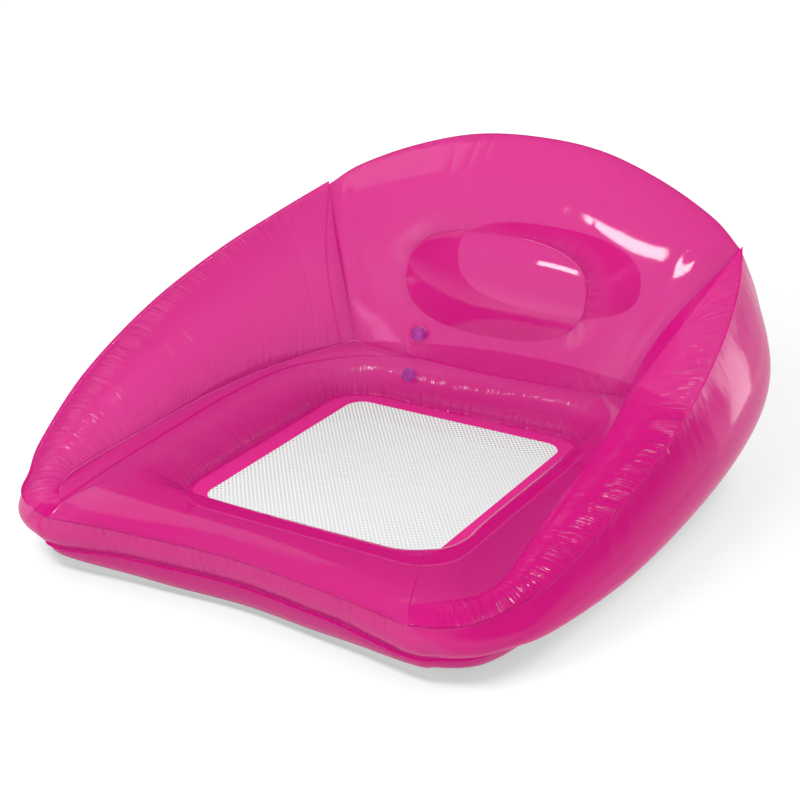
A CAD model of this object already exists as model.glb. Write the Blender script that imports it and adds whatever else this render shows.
"""Inflatable lounge chair: see-through pink vinyl film, a white mesh seat and two air valves.

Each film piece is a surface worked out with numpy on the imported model's own welds, but far finer,
with the puckers that a blown-up film has beside its welds.
Metres, +Z up, front of the seat towards -Y.
"""

from __future__ import annotations

import logging
from dataclasses import dataclass, field
from enum import Enum
from typing import Callable

import bpy
import numpy as np
from mathutils import Euler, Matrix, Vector


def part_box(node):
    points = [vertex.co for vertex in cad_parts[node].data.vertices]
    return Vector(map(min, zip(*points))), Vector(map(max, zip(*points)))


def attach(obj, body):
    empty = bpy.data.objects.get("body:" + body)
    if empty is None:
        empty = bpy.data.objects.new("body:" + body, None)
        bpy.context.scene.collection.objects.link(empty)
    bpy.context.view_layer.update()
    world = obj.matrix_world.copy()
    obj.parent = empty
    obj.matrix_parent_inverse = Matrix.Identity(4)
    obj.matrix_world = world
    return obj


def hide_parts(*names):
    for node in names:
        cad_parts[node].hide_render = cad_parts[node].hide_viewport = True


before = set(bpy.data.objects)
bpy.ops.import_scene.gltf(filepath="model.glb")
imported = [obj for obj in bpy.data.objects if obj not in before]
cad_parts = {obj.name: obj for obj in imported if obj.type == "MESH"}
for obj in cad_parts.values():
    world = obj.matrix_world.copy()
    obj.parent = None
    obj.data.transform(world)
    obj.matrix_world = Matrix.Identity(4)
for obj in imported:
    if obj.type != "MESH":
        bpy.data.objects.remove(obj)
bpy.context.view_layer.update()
log = logging.getLogger("lounge")
Array = np.ndarray
UP = np.array([0.0, 0.0, 1.0])
LEVEL = np.array([1.0, 1.0, 0.0])
WHITE = "#ffffff"
WELD_CROWDING = 0.8  # how far the rows of a wall crowd towards its welds


class Side(Enum):
    """The two sides of the lounge, with the sign of X on each."""

    LEFT = -1
    RIGHT = 1


class Slot(Enum):
    """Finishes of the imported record."""

    FILM = "transparent_pink_vinyl"
    FLAT = "flat_pink_vinyl"
    MESH = "white_polyester_mesh"
    VALVE = "soft_violet_pvc"


# Curves and directions


def spline(points: Array, index: Array, closed: bool = False) -> Array:
    """Catmull-Rom curve: on each stretch the cubic through two points with the slopes of their neighbours.

    Args:
        points: One row for each station.
        index: Where to read the curve; station k lies at index k.
        closed: Whether the last station runs on into the first.

    Returns:
        One row for each index.
    """
    points = np.asarray(points, float)
    index = np.asarray(index, float)
    count = len(points)
    if closed:
        base = np.floor(index).astype(int)
        before, start, end, after = (points[(base + step) % count] for step in (-1, 0, 1, 2))
    else:
        base = np.clip(np.floor(index).astype(int), 0, count - 2)
        padded = np.concatenate([2 * points[:1] - points[1:2], points, 2 * points[-1:] - points[-2:-1]])
        before, start, end, after = (padded[base + step] for step in (0, 1, 2, 3))
    t = (index - base)[:, None]
    return 0.5 * (2 * start + (end - before) * t
                  + (2 * before - 5 * start + 4 * end - after) * t ** 2
                  + (3 * start - before - 3 * end + after) * t ** 3)


def mirrored(points: Array) -> Array:
    """The same points on the other side of the centre line."""
    return np.asarray(points) * np.array([-1.0, 1.0, 1.0])


def across(half: Array) -> Array:
    """A run over the centre line from its half, given from the right side inwards."""
    return np.vstack([half, mirrored(half)[-2::-1]])


def unit(vectors: Array) -> Array:
    """Vectors brought to length one."""
    return vectors / np.maximum(np.linalg.norm(vectors, axis=-1, keepdims=True), 1e-12)


def level(vectors: Array) -> Array:
    """Vectors laid level, length one."""
    return unit(vectors * LEVEL)


def pointing(direction: Array, way: Array) -> Array:
    """Directions turned round where they point against a given way."""
    against = np.sum(direction * way, axis=-1) < 0
    return direction * np.where(against, -1.0, 1.0)[..., None]


def eased(share: Array) -> Array:
    """Smooth step: three squares less two cubes of the share, held between nought and one."""
    share = np.clip(share, 0.0, 1.0)
    return share * share * (3 - 2 * share)


def crowded(count: int, ends: float = 1.0) -> Array:
    """Shares from nought to one that crowd at both ends: a blend of even steps and half a cosine."""
    even = np.linspace(0, 1, count + 1)
    return even * (1 - ends) + (1 - np.cos(np.pi * even)) / 2 * ends


def run_length(points: Array, axis: int = 0) -> Array:
    """Length along a run up to each of its points.

    Args:
        points: Points of one run, or a grid of runs.
        axis: Axis that the runs follow.

    Returns:
        Lengths in metres, starting at nought.
    """
    steps = np.linalg.norm(np.diff(points, axis=axis), axis=-1)
    start = np.zeros_like(np.take(steps, [0], axis=axis))
    return np.concatenate([start, np.cumsum(steps, axis=axis)], axis=axis)


def normals_of(grid: Array, closed: bool = False) -> Array:
    """Direction across a surface at each point: its column step crossed with its row step.

    Args:
        grid: Points as columns by rows.
        closed: Whether the last column runs on into the first.

    Returns:
        Unit vectors, one for each point.
    """
    if closed:
        padded = np.concatenate([grid[-1:], grid, grid[:1]])
        along = (padded[2:] - padded[:-2])
    else:
        along = np.gradient(grid, axis=0)
    down = np.gradient(grid, axis=1)
    return unit(np.cross(down, along))


# Puckers of the film


@dataclass(frozen=True)
class Pucker:
    """Pillows that stand in a row beside a weld, because the film there is longer than the weld."""

    length: float
    height: float
    peak: float
    start: float = 0.0
    unevenness: float = 0.9

    def relief(self, along: Array, away: Array, strength: Array | float = 1.0) -> Array:
        """How far the film stands out.

        Round pillows with sharp valleys: the absolute sine of the way along, whose phase is warped
        by slow sines, times a hump over the way from the weld, (d / peak) exp(1 - d / peak), times
        slow clusters of strong and weak places. The slow sines run over 2.9 to 13.7 pillows, all of
        them different, so that the row shows no repeat.

        Args:
            along: Length along the weld, in metres.
            away: Distance from the weld, in metres.
            strength: Local share of the full height.

        Returns:
            Heights in metres, never negative.
        """
        turns = 2 * np.pi * along / self.length
        warp = self.unevenness * (np.sin(turns / 4.7 + self.start)
                                  + 0.6 * np.sin(turns / 2.9 + 2.1 * self.start + 1.0))
        drift = 0.35 * away / self.peak * np.sin(turns / 7.3 + self.start)
        wave = np.abs(np.sin(np.pi * along / self.length + warp + drift))
        cluster = 0.55 + 0.45 * np.sin(turns / 6.1 + 3.3 * self.start)
        cluster = cluster * (0.75 + 0.25 * np.sin(turns / 13.7 + 1.7 * self.start))
        share = away / self.peak
        return self.height * strength * cluster * wave ** 0.8 * share * np.exp(1 - share)


# Sizes


@dataclass(frozen=True)
class BodySizes:
    """Sizes of the inflated body in metres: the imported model's, save a few that follow the photograph."""

    seam_half_width: float = 0.470
    seat_depth: float = 0.904
    crest_height: float = 0.489
    lower_weld_height: float = 0.045
    front_weld_lift: float = 0.012
    tube_crown_height: float = 0.128
    tube_inner_run: float = 0.090
    tube_rear_run: float = 0.055
    tube_front_run: float = 0.100
    floor_inset_outer: float = 0.055
    floor_inset_inner: float = 0.045
    window_width_share: float = 0.4213
    window_front_share: float = 0.2135
    window_rear_share: float = 0.687
    window_corner: float = 0.032
    frame_width: float = 0.038
    mesh_height: float = 0.062
    mesh_thickness: float = 0.0006
    film: float = 0.0004
    clearance: float = 0.0003
    weld_width: float = 0.006
    tip_weld_share: float = 0.25
    hidden_gap: float = 0.0022
    hidden_gap_back: float = 0.0042
    margin_lift_share: float = 0.55
    outer_bulge: float = 0.075
    arm_bulge: float = 0.042
    backrest_bulge: float = 0.052
    band_bulge: float = 0.006
    backrest_fullness_share: float = 1.5
    inner_power: float = 0.72

    @property
    def layer(self) -> float:
        """One film and the gap beside it."""
        return self.film + self.clearance

    @property
    def half_weld(self) -> float:
        """Middle of a weld to the outer face of either film."""
        return self.clearance / 2 + self.film

    @property
    def window_half_width(self) -> float:
        """Centre line to the side of the window."""
        return self.seam_half_width * self.window_width_share

    @property
    def window_front(self) -> float:
        """Seat's front to the front edge of the window."""
        return self.seat_depth * self.window_front_share

    @property
    def window_rear(self) -> float:
        """Seat's front to the rear edge of the window."""
        return self.seat_depth * self.window_rear_share

    @property
    def frame_half_width(self) -> float:
        """Centre line to the foot of the tube."""
        return self.window_half_width + self.frame_width

    @property
    def frame_front(self) -> float:
        """Seat's front to the front foot of the tube."""
        return self.window_front - self.frame_width

    @property
    def frame_rear(self) -> float:
        """Seat's front to the rear foot of the tube."""
        return self.window_rear + self.frame_width

    @property
    def frame_corner(self) -> float:
        """Corner radius at the foot of the tube."""
        return self.window_corner + self.frame_width

    @property
    def stack_bottom(self) -> float:
        """Height of the base's bottom sheet under the mesh."""
        return self.mesh_height - self.mesh_thickness - 2 * self.layer

    @property
    def shift(self) -> float:
        """Way in Y from the stations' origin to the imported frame's, read from the mesh frame's box."""
        low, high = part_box("mesh_frame")
        return (low[1] + high[1]) / 2 - (self.frame_front + self.frame_rear) / 2


@dataclass(frozen=True)
class Fineness:
    """How many columns and rows the surfaces have."""

    front_spans: int = 12
    arm_spans: int = 18
    back_spans: int = 16
    side_spans: int = 7
    finer: int = 30
    wall_rows: int = 56
    panel_rows: int = 56
    tube_rows_near: int = 30
    tube_rows_far: int = 12
    hull_rows: int = 16
    face_rows: int = 42
    oval_rows: int = 22

    @property
    def front(self) -> int:
        """Columns over the front."""
        return self.front_spans * self.finer

    @property
    def arm(self) -> int:
        """Columns along an arm."""
        return self.arm_spans * self.finer

    @property
    def back(self) -> int:
        """Columns over the backrest."""
        return self.back_spans * self.finer

    @property
    def side(self) -> int:
        """Columns down a side of the backrest's panels."""
        return self.side_spans * self.finer


# Welds and creases


@dataclass
class Welds:
    """Runs of the welds and creases round the body, and the directions across them.

    Stations run from the tip of the arm to the backrest, x as a share of the seam's half width, y
    of the seat's depth and z, where given, of the crest's height.
    """

    sizes: BodySizes = field(default_factory=BodySizes)
    fine: Fineness = field(default_factory=Fineness)
    arm_top: tuple = (
        (0.630, -0.050, 0.200), (0.713, -0.040, 0.205), (0.794, -0.010, 0.211),
        (0.847, 0.040, 0.225), (0.915, 0.111, 0.266), (0.979, 0.268, 0.380),
        (1.000, 0.467, 0.499), (0.968, 0.657, 0.599), (0.904, 0.819, 0.679),
        (0.830, 0.938, 0.748))
    arm_crease: tuple = (
        (0.612, -0.028), (0.666, 0.000), (0.711, 0.030), (0.745, 0.068), (0.757, 0.122),
        (0.736, 0.265), (0.723, 0.442), (0.677, 0.586), (0.613, 0.708), (0.557, 0.802))
    arm_lower: tuple = (
        (0.617, -0.032), (0.691, -0.020), (0.762, 0.004), (0.802, 0.039), (0.830, 0.105),
        (0.860, 0.262), (0.881, 0.442), (0.894, 0.631), (0.862, 0.796), (0.734, 0.907))
    arm_window: tuple = (0.0, 0.03, 0.07, 0.12, 0.20, 0.38, 0.60, 0.78, 0.91, 1.0)
    arm_outer_bulge: tuple = (0.16, 0.20, 0.27, 0.36, 0.50, 0.76, 0.90, 0.97, 1.00, 1.00)
    arm_inner_bulge: tuple = (0.0, 0.10, 0.20, 0.32, 0.50, 0.80, 1.00, 1.00, 0.78, 0.0)
    arm_inset: tuple = (2.0, 2.0, 1.8, 1.5, 1.2, 1.0, 1.0, 1.0, 1.0, 1.0)
    arm_rear: tuple = (0.0, 0.0, 0.10, 0.30, 0.50, 0.60, 0.70, 0.85, 1.0, 1.0)
    arm_front: tuple = (1.0, 1.0, 0.8, 0.5, 0.2, 0.0, 0.0, 0.0, 0.0, 0.0)
    back_top: tuple = (
        (0.830, 0.938, 0.748), (0.713, 0.958, 0.828), (0.500, 0.980, 0.917),
        (0.255, 0.996, 0.982), (0.000, 1.000, 1.000))
    back_crease: tuple = (
        (0.557, 0.802), (0.479, 0.788), (0.340, 0.779), (0.170, 0.775), (0.000, 0.774))
    back_lower: tuple = (
        (0.734, 0.907), (0.606, 0.955), (0.425, 0.989), (0.213, 1.011), (0.000, 1.018))
    back_outer_bulge: tuple = (1.00, 0.94, 0.84, 0.76, 0.72)
    back_inner_bulge: tuple = (0.00, 0.62, 0.88, 1.00, 1.00)
    front_top: tuple = ((0.630, -0.050, 0.200), (0.340, -0.033, 0.205), (0.0, -0.020, 0.206))
    front_lower: tuple = ((0.617, -0.032), (0.320, -0.021), (0.0, -0.007))
    front_inset: tuple = (2.0, 1.2, 1.0)
    hidden_ways: tuple = ((0.0, 5.0, 12.0, 18.0), (0.0, 0.78, 0.90, 0.93))
    hidden_way_back: float = 0.93

    def __post_init__(self) -> None:
        """Works out every run and direction once."""
        s, f = self.sizes, self.fine
        front_spans, arm_spans, back_spans = 2 * (len(self.front_top) - 1), len(self.arm_top) - 1, 2 * (
            len(self.back_top) - 1)
        self.front_index = np.linspace(0, front_spans, f.front + 1)
        self.arm_index = np.linspace(0, arm_spans, f.arm + 1)
        self.back_index = np.linspace(0, back_spans, f.back + 1)
        self.seat_middle = np.array([0.0, (s.window_front + s.window_rear) / 2 + s.shift, s.tube_crown_height])
        self.top_front = spline(mirrored(across(self.placed(self.front_top))), self.front_index)
        self.top_arm = spline(self.placed(self.arm_top), self.arm_index)
        self.top_back = spline(across(self.placed(self.back_top)), self.back_index)
        front, arm, back = (self.placed(shares, s.lower_weld_height)
                            for shares in (self.front_lower, self.arm_lower, self.back_lower))
        left_arm = mirrored(arm)[::-1]
        loop = np.vstack([mirrored(across(front)), arm[1:], across(back)[1:], left_arm[1:-1]])
        self.lower_front = spline(loop, self.front_index, closed=True)
        self.lower_arm = spline(loop, front_spans + self.arm_index, closed=True)
        self.lower_back = spline(loop, front_spans + arm_spans + self.back_index, closed=True)
        steps = self.front_index / self.front_index[-1]
        self.lower_front[:, 2] += s.front_weld_lift * eased(4 * np.minimum(steps, 1 - steps))
        self.crease_arm = spline(self.placed(self.arm_crease, s.tube_crown_height), self.arm_index)
        self.crease_back = spline(across(self.placed(self.back_crease, s.tube_crown_height)), self.back_index)
        self.out_front, self.out_arm, self.out_back = self.joined(
            self.outward(self.top_front, self.lower_front), self.outward(self.top_arm, self.lower_arm),
            self.outward(self.top_back, self.lower_back))
        self.margin_front, self.margin_arm, self.margin_back = (
            self.margin_of(out) for out in (self.out_front, self.out_arm, self.out_back))
        self.side_front, self.side_arm, self.side_back = self.joined(
            self.side_of(self.top_front, self.margin_front), self.side_of(self.top_arm, self.margin_arm),
            self.side_of(self.top_back, self.margin_back))
        self.front_widths = self.margin_widths(f.front + 1, True, True)
        self.arm_widths = self.margin_widths(f.arm + 1, True, False)
        self.back_widths = np.full(f.back + 1, s.weld_width)

    def placed(self, shares: tuple, height: float | None = None) -> Array:
        """Station shares as points; a fixed height where the shares give none.

        Args:
            shares: Stations as shares of the seam's half width, the seat's depth and the crest's height.
            height: Height in metres for shares without one, or None.

        Returns:
            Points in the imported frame.
        """
        s = self.sizes
        shares = np.asarray(shares, float)
        z = shares[:, 2] * s.crest_height if height is None else np.full(len(shares), height)
        return np.column_stack([shares[:, 0] * s.seam_half_width, shares[:, 1] * s.seat_depth + s.shift, z])

    def values(self, shares: tuple, index: Array, both_sides: bool = False) -> Array:
        """Shares given at stations, read smoothly along a run.

        Args:
            shares: One share for each station.
            index: Where to read them; station k lies at index k.
            both_sides: Whether the run goes on over the centre line with the same shares.

        Returns:
            One share for each index.
        """
        numbers = np.asarray(shares, float)
        if both_sides:
            numbers = np.concatenate([numbers, numbers[-2::-1]])
        return spline(numbers[:, None], index)[:, 0]

    def outward(self, upper: Array, lower: Array) -> Array:
        """Directions across an outer wall, away from the seat: the chord crossed with the run."""
        tangent = np.gradient((upper + lower) / 2, axis=0)
        return pointing(unit(np.cross(lower - upper, tangent)), (upper + lower) / 2 - self.seat_middle)

    def joined(self, front: Array, arm: Array, back: Array) -> tuple[Array, Array, Array]:
        """The same directions, turned evenly into one shared value where two runs meet.

        Args:
            front: Directions along the front.
            arm: Directions along the right arm.
            back: Directions along the backrest.

        Returns:
            The three runs. Near each meeting the difference fades out over one CAD sample.
        """
        fade = np.clip(1 - np.arange(2 * self.fine.finer) / self.fine.finer, 0, 1)[:, None]
        tip = unit(front[-1] + arm[0])
        corner = unit(arm[-1] + back[0])
        count = len(fade)
        front, arm, back = front.copy(), arm.copy(), back.copy()
        front[-count:] += (tip - front[-1]) * fade[::-1]
        front[:count] += (mirrored(tip) - front[0]) * fade
        arm[:count] += (tip - arm[0]) * fade
        arm[-count:] += (corner - arm[-1]) * fade[::-1]
        back[:count] += (corner - back[0]) * fade
        back[-count:] += (mirrored(corner) - back[-1]) * fade[::-1]
        return unit(front), unit(arm), unit(back)

    def margin_of(self, out: Array) -> Array:
        """Directions of the welded margin along the top seam, up and away from the seat."""
        lift = self.sizes.margin_lift_share
        return unit(level(out) * (1 - lift) + UP * lift)

    def side_of(self, run: Array, margin: Array) -> Array:
        """Directions across the welded margin, on the side of the seat."""
        over = unit(np.cross(margin, np.gradient(run, axis=0)))
        return pointing(over, self.seat_middle + UP * self.sizes.crest_height - run)

    def margin_widths(self, count: int, at_start: bool, at_end: bool) -> Array:
        """Width of a welded margin along a run, drawn in evenly over one CAD sample at a tip.

        Args:
            count: Columns of the run.
            at_start: Whether a tip lies at its start.
            at_end: Whether one lies at its end.

        Returns:
            Widths in metres.
        """
        s = self.sizes
        steps = np.arange(count) / self.fine.finer
        share = np.ones(count)
        if at_start:
            share = np.minimum(share, steps)
        if at_end:
            share = np.minimum(share, steps[::-1])
        return s.weld_width * (s.tip_weld_share + (1 - s.tip_weld_share) * share)

    def ring(self, front: Array, arm: Array, back: Array) -> Array:
        """One closed run round the body, from the left tip over the front, anticlockwise."""
        left_arm = mirrored(arm)[::-1]
        return np.vstack([left_arm[-1:], front[1:-1], arm[:-1], back[:-1], left_arm[:-1]])

    def ring_values(self, front: Array, arm: Array, back: Array) -> Array:
        """The same for values that both sides share."""
        left_arm = arm[::-1]
        return np.concatenate([left_arm[-1:], front[1:-1], arm[:-1], back[:-1], left_arm[:-1]])


def pressed(distance: Array) -> Array:
    """Factor on a bulge that falls evenly to nought over one station, so that it falls as a quarter circle."""
    share = np.clip(distance, 0.02, 1.0)
    return np.sqrt((2 - share) / share)


def bulged(upper: Array, lower: Array, direction: Array, bulge: Array, ways: Array,
           power: float = 1.0) -> Array:
    """Wall between two runs: straight chords pushed out by the bulge times the sine of the way down.

    Args:
        upper: Points of the upper run.
        lower: Points of the lower run.
        direction: Way to push out, for each column.
        bulge: How far to push where the wall is fullest, for each column.
        ways: Shares down the wall, for each row, or for each column and row.
        power: Power of the sine; below one the wall is rounder and meets its welds more steeply.

    Returns:
        Points as columns by rows.
    """
    ways = np.broadcast_to(ways, (len(upper), np.shape(ways)[-1]))
    chord = upper[:, None] + (lower - upper)[:, None] * ways[..., None]
    swell = np.clip(np.sin(np.pi * ways), 0, 1) ** power
    return chord + direction[:, None] * (bulge[:, None] * swell)[..., None]


def set_off(grid: Array, side: Array, distances: Array | float) -> Array:
    """A wall moved off its top weld by a distance that falls with the square of the way down.

    Args:
        grid: Points as columns by rows.
        side: Way to move, for each column.
        distances: How far at the top weld, for each column or for all.

    Returns:
        The moved points.
    """
    fade = np.linspace(1, 0, grid.shape[1]) ** 2
    distances = np.broadcast_to(distances, len(grid))
    return grid + (side * distances[:, None])[:, None] * fade[None, :, None]


def lipped(grid: Array, margin: Array, width: Array) -> Array:
    """The wall with its top welded margin ahead of its first row."""
    lip = grid[:, :1] + (margin * width[:, None])[:, None] * np.array([1.0, 0.5])[None, :, None]
    return np.concatenate([lip, grid], axis=1)


def inflated(grid: Array, relief: Array, closed: bool = False, flip: bool = False) -> Array:
    """A surface pushed along its own normals by a relief."""
    normals = normals_of(grid, closed) * (-1.0 if flip else 1.0)
    return grid + normals * relief[..., None]


def seam_of(grid: Array, both: bool = False, ribs: float = 0.4,
            reach: float = 0.014) -> tuple[Array, Array, Array]:
    """Where each point lies beside its welds.

    Args:
        grid: Points as columns by rows.
        both: Whether the last row is a weld too.
        ribs: Strength of the ribs at the weld.
        reach: Distance over which they fade to a third, by the exponential of minus the share.

    Returns:
        Length along the first row, distance from the nearest weld, and strength of the ribs.
    """
    away = run_length(grid, axis=1)
    if both:
        away = np.minimum(away, away[:, -1:] - away)
    return run_length(grid[:, 0])[:, None], away, ribs * np.exp(-away / reach)


# Meshes


@dataclass(frozen=True)
class ValveHole:
    """The round hole in a film that a valve's collar and stem pass through, under the valve's flange."""

    flange: str
    radius: float = 0.0129
    depth: float = 0.020  # points further than this along the axis belong to another part of the film

    def axis(self) -> tuple[Array, Array]:
        """Middle of the flange's solid, and the way in which its points spread least.

        That way is the eigenvector of the points' covariance with the smallest eigenvalue.

        Returns:
            A point and a unit vector.
        """
        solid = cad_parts[self.flange]
        points = np.empty(3 * len(solid.data.vertices), np.float32)
        solid.data.vertices.foreach_get("co", points)
        turn = np.array(solid.matrix_world)
        points = points.reshape(-1, 3) @ turn[:3, :3].T + turn[:3, 3]
        middle = (points.min(axis=0) + points.max(axis=0)) / 2
        return middle, np.linalg.eigh(np.cov((points - middle).T))[1][:, 0]

    def cut(self, points: Array) -> tuple[Array, Array]:
        """Moves a film's points out of the hole: those nearer the axis than its radius go to its edge.

        Args:
            points: The film's points.

        Returns:
            The moved points, and whether each one stood in the hole.
        """
        middle, axis = self.axis()
        along = (points - middle) @ axis
        across = points - middle - along[:, None] * axis
        distance = np.maximum(np.linalg.norm(across, axis=1), 1e-9)
        inside = (distance < self.radius) & (np.abs(along) < self.depth)
        pushed = across * np.where(inside, self.radius / distance, 1.0)[:, None]
        return middle + along[:, None] * axis + pushed, inside


class Surface:
    """One film piece: a grid of points, columns by rows, made a smooth mesh."""

    def __init__(self, name: str, material: bpy.types.Material, body: str, slot: Slot, *nodes: str) -> None:
        """Keeps what the piece is, before its shape.

        Args:
            name: Name of the object.
            material: Its finish.
            body: CAD body that it rides on.
            slot: Finish slot of the record.
            nodes: CAD nodes that it stands for.
        """
        self.name, self.material, self.body, self.slot, self.nodes = name, material, body, slot, nodes

    def build(self, grid: Array, closed: bool = False, flip: bool = False, pole: Array | None = None,
              hole: ValveHole | None = None,
              seam: tuple[Array, Array, Array] | None = None) -> bpy.types.Object:
        """Makes the mesh: one quad between each two columns and rows, and a fan round a pole.

        Args:
            grid: Points as columns by rows.
            closed: Whether the last column runs on into the first.
            flip: Whether the faces are turned round.
            pole: A point that closes the last row, or None.
            hole: The valve's hole in the film, or None. A film with a pole has none.
            seam: Length along the nearest weld, distance from it and strength of the ribs there, for
                each point, or None where no weld is.

        Returns:
            The finished object, riding on its body.
        """
        columns, rows = grid.shape[:2]
        here = np.arange(columns if closed else columns - 1)
        beside = (here + 1) % columns
        steps = np.arange(rows - 1)
        low = here[:, None] * rows + steps
        high = beside[:, None] * rows + steps
        quads = np.stack([low, low + 1, high + 1, high], axis=-1).reshape(-1, 4)
        points = grid.reshape(-1, 3)
        loops = (quads[:, ::-1] if flip else quads).ravel()
        sizes = np.full(len(quads), 4)
        if pole is not None:
            ends = here * rows + rows - 1
            fan = np.stack([ends, np.full(len(ends), len(points)), beside * rows + rows - 1], axis=-1)
            points = np.vstack([points, pole])
            loops = np.concatenate([loops, (fan[:, ::-1] if flip else fan).ravel()])
            sizes = np.concatenate([sizes, np.full(len(fan), 3)])
        if hole is not None:
            points, inside = hole.cut(points)
            kept = ~inside[quads].all(axis=1)
            assert pole is None and not kept.all(), self.name
            quads, sizes = quads[kept], sizes[kept]
            loops = (quads[:, ::-1] if flip else quads).ravel()
        mesh = bpy.data.meshes.new(self.name)
        mesh.vertices.add(len(points))
        mesh.vertices.foreach_set("co", points.astype(np.float32).ravel())
        mesh.loops.add(len(loops))
        mesh.loops.foreach_set("vertex_index", loops.astype(np.int32))
        mesh.polygons.add(len(sizes))
        mesh.polygons.foreach_set("loop_start", np.concatenate([[0], np.cumsum(sizes)[:-1]]).astype(np.int32))
        mesh.update(calc_edges=True)
        mesh.validate()
        mesh.shade_smooth()
        mesh.materials.append(self.material)
        places = np.tile(np.array([1.0, 1.0, 0.0], np.float32), (len(points), 1))
        if seam is not None:
            for axis, value in enumerate(seam):
                places[:columns * rows, axis] = np.broadcast_to(value, (columns, rows)).ravel()
        mesh.attributes.new("seam", "FLOAT_VECTOR", "POINT").data.foreach_set("vector", places.ravel())
        made = bpy.data.objects.new(self.name, mesh)
        bpy.context.scene.collection.objects.link(made)
        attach(made, self.body)
        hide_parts(*self.nodes)
        log.info("%s: %d points, rides on %s", self.name, len(points), self.body)
        return made


# Finishes


def linear(colour: str) -> tuple:
    """Blender's linear colour for an sRGB hex value.

    A dark channel is divided by 12.92, a lighter one is lifted a little and raised to the power 2.4.

    Args:
        colour: Six hex digits after a hash sign.

    Returns:
        Red, green, blue and full alpha.
    """
    shares = np.array([int(colour[start:start + 2], 16) for start in (1, 3, 5)]) / 255
    light = np.where(shares <= 0.04045, shares / 12.92, ((shares + 0.055) / 1.055) ** 2.4)
    return (*light.tolist(), 1.0)


class Shader:
    """The node tree of one material or world while it is built."""

    def __init__(self, owner: bpy.types.Material | bpy.types.World) -> None:
        """Starts an empty tree in a material or a world.

        Args:
            owner: The new material or world.
        """
        self.owner = owner
        owner.use_nodes = True
        self.tree = owner.node_tree
        self.tree.nodes.clear()

    def node(self, kind: str, links: dict | None = None, **settings: object) -> bpy.types.Node:
        """Adds one node with its settings and links.

        Args:
            kind: Blender's name of the node.
            links: Input name or number to a value, to an output socket, or to a node for its first output.
            settings: Settings of the node itself.

        Returns:
            The new node.
        """
        made = self.tree.nodes.new(kind)
        for key, value in settings.items():
            setattr(made, key, value)
        for key, value in (links or {}).items():
            source = value.outputs[0] if isinstance(value, bpy.types.Node) else value
            if isinstance(source, bpy.types.NodeSocket):
                self.tree.links.new(source, made.inputs[key])
            else:
                made.inputs[key].default_value = source
        return made

    def seen_directly(self) -> bpy.types.Node:
        """One for camera, glossy and transmission rays, nought for those that carry light.

        Returns:
            The node that holds the larger of the three flags.
        """
        flags = self.node("ShaderNodeLightPath").outputs
        indirect = self.node("ShaderNodeMath", {0: flags["Is Glossy Ray"], 1: flags["Is Transmission Ray"]},
                             operation="MAXIMUM")
        return self.node("ShaderNodeMath", {0: flags["Is Camera Ray"], 1: indirect}, operation="MAXIMUM")

    def finish(self, surface: bpy.types.Node) -> bpy.types.Material:
        """Links the surface to the output."""
        self.node("ShaderNodeOutputMaterial", {"Surface": surface})
        return self.owner


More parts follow.
